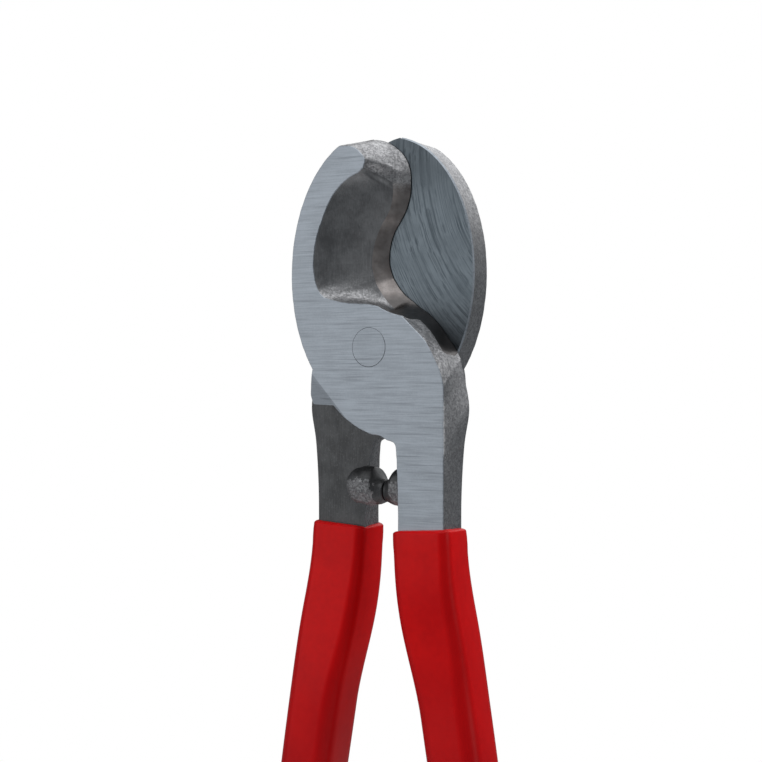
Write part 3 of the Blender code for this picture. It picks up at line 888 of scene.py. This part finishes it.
def handle_ring(share, grown, raised=None):
    """A ring round the handle this far outside the steel. raised gives the height added at each angle."""
    above, below = max(0.0, share - LEAN_REACH), min(1.0, share + LEAN_REACH)
    lean = math.atan2(bow_at(below) - bow_at(above), (below - above) * GRIP_LENGTH)
    lean *= smooth_step(share / SQUARE_END) * smooth_step((ROUNDING_SHARE - share) / SQUARE_END)
    centre_x = SHANK_MIDDLE + bow_at(share)
    centre_y = -(OUTER_FACE + SHEAR_FACE) / 2 * (1 - smooth_step(share / LEVELLING))
    half_width, half_depth, corner = (size + grown for size in section_at(share))
    corner = max(corner, LEAST_CORNER)
    ring = []
    for quarter in range(4):
        middle_x = (half_width - corner) * (1 if quarter in (0, 3) else -1)
        middle_y = (half_depth - corner) * (1 if quarter in (0, 1) else -1)
        for step in range(CORNER_SIDES + 1):
            angle = math.pi / 2 * (quarter + step / CORNER_SIDES)
            across = middle_x + corner * math.cos(angle)
            deep = middle_y + corner * math.sin(angle)
            up = raised(across / half_width, deep / half_depth) if raised else 0.0
            ring.append((centre_x + across * math.cos(lean), centre_y + deep,
                         -GRIP_LIP - share * GRIP_LENGTH + across * math.sin(lean) + up))
    return ring


print("grip", round(GRIP_LENGTH, 1), "mm long")

# %% Steel inside the grip
TANG_SHORT = 3.3  # how far it stops before the end of the grip
TANG_STATIONS = 30
ROOT_SHRUNK = -0.1
ROOT_RISE = 0.5


def tang():
    last = 1 - TANG_SHORT / GRIP_LENGTH
    made = [handle_ring(0.0, ROOT_SHRUNK, lambda across, deep: ROOT_RISE)]
    made += [handle_ring(last * step / TANG_STATIONS, 0.0) for step in range(1, TANG_STATIONS + 1)]
    shape = skin("tang", made)
    outward(shape.data)
    return refinished(shape, BLASTED)


steel_tang = tang()
print(len(steel_tang.data.polygons), "faces on the tang")

# %% [markdown]
# ## One lever, used twice
#
# The plate, the boss and the tang overlap inside the metal, so joining them is enough: no seam shows. The
# second lever is the same mesh turned half a turn about the tool's length, as the two real forgings are.

# %% Join the lever and place both
def joined(name, *shapes):
    """One mesh from several objects, kept in the order given."""
    points, faces, finishes = [], [], []
    for shape in shapes:
        first = len(points)
        points += [vertex.co.copy() for vertex in shape.data.vertices]
        for polygon in shape.data.polygons:
            faces.append([first + index for index in polygon.vertices])
            finishes.append(polygon.material_index)
        bpy.data.objects.remove(shape)
    data = bpy.data.meshes.new(name)
    data.from_pydata(points, [], faces)
    return dressed(data, lever_finishes, finishes)


def keep_crisp(data):
    """Marks the whole border between the hollow and its bevel as sharp, also where the angle is small."""
    sides = {}
    for polygon in data.polygons:
        if polygon.material_index in (HOLLOW, HONED):
            for key in polygon.edge_keys:
                sides.setdefault(key, set()).add(polygon.material_index)
    for edge in data.edges:
        if len(sides.get(edge.key, ())) == 2:
            edge.use_edge_sharp = True


def placed(name, data, body, node, turn):
    """A piece in the tool's own place: scaled to metres, turned, and riding on its body."""
    own = data.copy()
    own.name = name
    own.transform(Matrix.Scale(MM, 4))
    own.shade_smooth()
    own.set_sharp_from_angle(angle=SMOOTH_ANGLE)
    keep_crisp(own)
    made = linked(name, own)
    made.location = PIVOT
    made.rotation_euler = (0, 0, turn)
    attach(made, body)
    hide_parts(node)
    return made


lever_mesh = joined("lever", plate, boss, steel_tang)
front = placed("front_lever_steel", lever_mesh, FRONT_BODY, "front_lever", 0)
back = placed("back_lever_steel", lever_mesh, BACK_BODY, "back_lever", math.pi)
print(len(lever_mesh.polygons), "faces on each lever")

# %% [markdown]
# ## Rivet
#
# The rivet's two ends were ground together with the faces, so they lie flush and carry the same lines. Only
# the edge of each end is broken, by a few hundredths of a millimetre. The press left the rivet a hair off
# the middle of its hole, so the ring round it is fine on one side and darker on the other.

# %% The rivet
RIVET_SHIFT = 0.035
BROKEN_EDGE = 0.05
HEAD_DRAFT = 0.02


def rivet():
    half = [(OUTER_FACE - COUNTERSINK, RIVET_BODY), (OUTER_FACE - BROKEN_EDGE, RIVET_HEAD - HEAD_DRAFT),
            (OUTER_FACE, RIVET_HEAD - HEAD_DRAFT - BROKEN_EDGE)]
    profile = [(-along, radius) for along, radius in reversed(half)] + half
    shape = turned("rivet", profile, "Y", RIVET_SIDES, (rivet_face,))
    data = shape.data
    data.transform(Matrix.Translation((-RIVET_SHIFT, 0, RIVET_SHIFT / 2)))
    bpy.data.objects.remove(shape)
    return data


pin = placed("rivet_steel", rivet(), FRONT_BODY, "pivot_rivet", 0)
print("rivet", round(2 * RIVET_HEAD, 1), "mm across")

# %% [markdown]
# ## Dipped grips
#
# Each handle is dipped in liquid vinyl and cured. The skin follows the steel, softens its corners, and ends
# at the top in a rounded lip that isn't quite level, because the handle goes into the tank at a slant. The
# surface is glossy with a very slight orange peel, and its red grows a little deeper towards the bottom.
# Along the rounded corners the red is darkened as painted shade.

# %% Vinyl finish
BASE_RED = ((0.58, 0.0036, 0.0052), (0.70, 0.005, 0.0058))
LOWER_RED = (0.35, 0.003, 0.005)
CORNER_SHADE_RED = (0.30, 0.0016, 0.0028)
DARKER_UNDER = (-125.0, -50.0)  # heights from the rivet between which the red turns darker towards the bottom
PEEL_DEPTH = 0.035
CORNER = "corner"  # the mesh's own record of where its corners are


def dipped_vinyl():
    made = Finish("red_dipped_vinyl", Specular_IOR_Level=0.085)
    clouds = made.grain(16.0, detail=2.0)
    mottle = made.grain(1.6, detail=2.0)
    peel = made.grain(2.4, detail=1.0)
    dust = made.grain(0.35, detail=1.0)
    thin = made.blend((clouds * 0.7 + mottle * 0.3).between(0.3, 0.7), *BASE_RED)
    height = made.wire(made.node("ShaderNodeSeparateXYZ", None, {0: made.place()}), "Z")
    # The red grows darker towards the bottom.
    lower_down = 1.0 - (height + clouds * 14.0).between(*DARKER_UNDER)
    corner = made.wire(made.node("ShaderNodeAttribute", {"attribute_name": CORNER}), "Fac")
    # Painted shade: the rounded corners are darkened along their length.
    stretched = (corner + mottle * 0.12).between(0.15, 1.0)
    coated = made.blend(lower_down * 0.75, thin, LOWER_RED)
    made.feed("Base Color", made.blend(stretched * 0.45, coated, CORNER_SHADE_RED))
    made.feed("Roughness", 0.25 + clouds * 0.08 + dust * 0.06)
    made.bump(peel + dust * 0.08, PEEL_DEPTH)
    return made.material


vinyl = dipped_vinyl()
print("made", vinyl.name)

# %% Grip shape
WALL = 1.88  # from the steel's own surface to the outside of the vinyl
LIP_TILT = 0.55
LIP_WAVE = 0.18
LIP_SAG = 0.12
LIP_INNER = 0.35
LIP_STEPS = 7
LIP_FADE = 0.05  # share of the length over which the rings under the lip turn level
BEAD = 0.12
BEAD_AT = 0.02
BEAD_SPREAD = 0.012
BODY_FROM = 0.012
GRIP_STATIONS = 70
END_STEPS = 9


def lip_height(across, deep):
    """The lip stands a little higher on the outer side, and sags along the front."""
    return LIP_TILT * across + LIP_WAVE * math.cos(3.0 * across + 1.0) - LIP_SAG * deep


def cornering(column):
    """1 in the middle of a rounded corner, and 0 on the flats."""
    return math.sin(math.pi * (column % (CORNER_SIDES + 1)) / CORNER_SIDES)


def grip():
    made = [handle_ring(0.03, 0.15)]
    made.append(handle_ring(0.0, 0.22, lambda across, deep: lip_height(across, deep) - 0.3))
    for step in range(LIP_STEPS + 1):
        angle = math.pi / 2 * step / LIP_STEPS
        out = LIP_INNER + (WALL - LIP_INNER) * math.sin(angle)
        rise = 0.75 * math.cos(angle) - 0.35
        made.append(handle_ring(0.0, out, lambda across, deep: lip_height(across, deep) + rise))
    for step in range(GRIP_STATIONS + 1):
        share = BODY_FROM + (ROUNDING_SHARE - BODY_FROM) * step / GRIP_STATIONS
        bead = BEAD * math.exp(-((share - BEAD_AT) / BEAD_SPREAD) ** 2)
        fade = 1 - smooth_step(share / LIP_FADE)
        made.append(handle_ring(share, WALL + bead, lambda across, deep: lip_height(across, deep) * fade))
    for step in range(1, END_STEPS + 1):
        angle = math.pi / 2 * step / END_STEPS
        drop = END_ROUNDING * math.sin(angle)
        made.append(handle_ring(ROUNDING_SHARE, WALL - END_ROUNDING * (1 - math.cos(angle)),
                                lambda across, deep: -drop))
    shape = skin("grip", made, materials=(vinyl,))
    outward(shape.data)
    data = shape.data
    corners = data.attributes.new(CORNER, "FLOAT", "POINT")
    corners.data.foreach_set("value", [cornering(column) for _ in made for column in range(len(made[0]))])
    bpy.data.objects.remove(shape)
    return data


grip_mesh = grip()
right_vinyl = placed("right_grip_vinyl", grip_mesh, FRONT_BODY, "right_grip", 0)
left_vinyl = placed("left_grip_vinyl", grip_mesh, BACK_BODY, "left_grip", math.pi)
print(len(grip_mesh.polygons), "faces on each grip")

# %% [markdown]
# ## Floor
#
# The tool stands on a small pale floor in front of plain white. A hard rim would show, so the floor's
# finish is mixed with a transparent shader towards the rim.

# %% Floor
FLOOR_RADIUS = 0.3
FLOOR_SIDES = 96
FLOOR_DROP = 0.0004  # keeps it just clear of the grips that stand on it
FLOOR_FADE_FROM = 0.35  # share of the radius


def make_floor():
    angles = [2 * math.pi * i / FLOOR_SIDES for i in range(FLOOR_SIDES)]
    ring = [(FLOOR_RADIUS * math.cos(angle), FLOOR_RADIUS * math.sin(angle), 0) for angle in angles]
    data = bpy.data.meshes.new("floor")
    data.from_pydata(ring, [], [tuple(range(FLOOR_SIDES))])
    made = linked("floor", data)
    made.location.z = -FLOOR_DROP
    finish = Finish("pale_floor", Base_Color=(0.82, 0.82, 0.82, 1), Roughness=0.9,
                    Emission_Color=(1, 1, 1, 1), Emission_Strength=0.06)
    own = finish.wire(finish.node("ShaderNodeTexCoord"), "Object")
    reach = finish.wire(finish.node("ShaderNodeVectorMath", {"operation": "LENGTH"}, {0: own}), "Value")
    clear = finish.node("ShaderNodeBsdfTransparent")
    mixed = finish.node("ShaderNodeMixShader", None,
                        {0: reach.between(FLOOR_FADE_FROM * FLOOR_RADIUS, FLOOR_RADIUS),
                         1: finish.wire(finish.shader), 2: finish.wire(clear)})
    finish.fill(finish.tree.nodes["Material Output"], "Surface", finish.wire(mixed))
    data.materials.append(finish.material)
    return made


make_floor()
print("floor radius", FLOOR_RADIUS, "m")

# %% [markdown]
# ## Lights
#
# Bright metal shows whatever is round it, so the light is planned as reflections: a large soft box above
# for the faces that look up, one to the front left for the ground faces, and two more, behind and to the
# right.

# %% Lights
def soft_box(name, position, size, power):
    """An area light that looks at the rivet. Its position and size are in metres, its power in watts."""
    data = bpy.data.lights.new(name, "AREA")
    data.shape = "RECTANGLE"
    data.size, data.size_y = size
    data.energy = power
    made = linked(name, data)
    made.location = Vector(position)
    made.rotation_euler = (Vector(position) - PIVOT).to_track_quat("Z", "Y").to_euler()
    return made


SOFT_BOXES = (  # name, position, size and power
    ("top_box", (0.1, 0.0, 1.0), (2.0, 1.1), 10.0),
    ("front_left_box", (-0.75, -0.95, 0.36), (1.1, 1.1), 4.4),
    ("back_box", (0.10, 0.85, 0.8), (1.6, 0.7), 3.4),
    ("right_box", (1.2, -0.05, 0.45), (0.5, 0.8), 3.4),
)
for name, position, size, power in SOFT_BOXES:
    soft_box(name, position, size, power)
print(len(SOFT_BOXES), "soft boxes")

# %% [markdown]
# ## Surround
#
# The camera sees plain white behind the tool. The steel must not, or its forged walls would turn white too,
# so every other ray meets a dim and slightly blue surround.

# %% Surround
SURROUND_COLOUR = (0.9, 0.95, 1.0, 1)
SURROUND_STRENGTH = 0.20


def make_surround():
    world = bpy.data.worlds.new("surround")
    world.use_nodes = True
    bpy.context.scene.world = world
    made = Nodes(world.node_tree)
    seen = made.tree.nodes["Background"]
    made.fill(seen, "Color", (1, 1, 1, 1))
    lit = made.node("ShaderNodeBackground", None, {"Color": SURROUND_COLOUR, "Strength": SURROUND_STRENGTH})
    path = made.node("ShaderNodeLightPath")
    mixed = made.node("ShaderNodeMixShader", None,
                      {0: made.wire(path, "Is Camera Ray"), 1: made.wire(lit), 2: made.wire(seen)})
    made.fill(made.tree.nodes["World Output"], "Surface", made.wire(mixed))


make_surround()
bpy.context.scene.view_settings.view_transform = "Standard"
print("surround ready")

# %% Update the scene
bpy.context.view_layer.update()
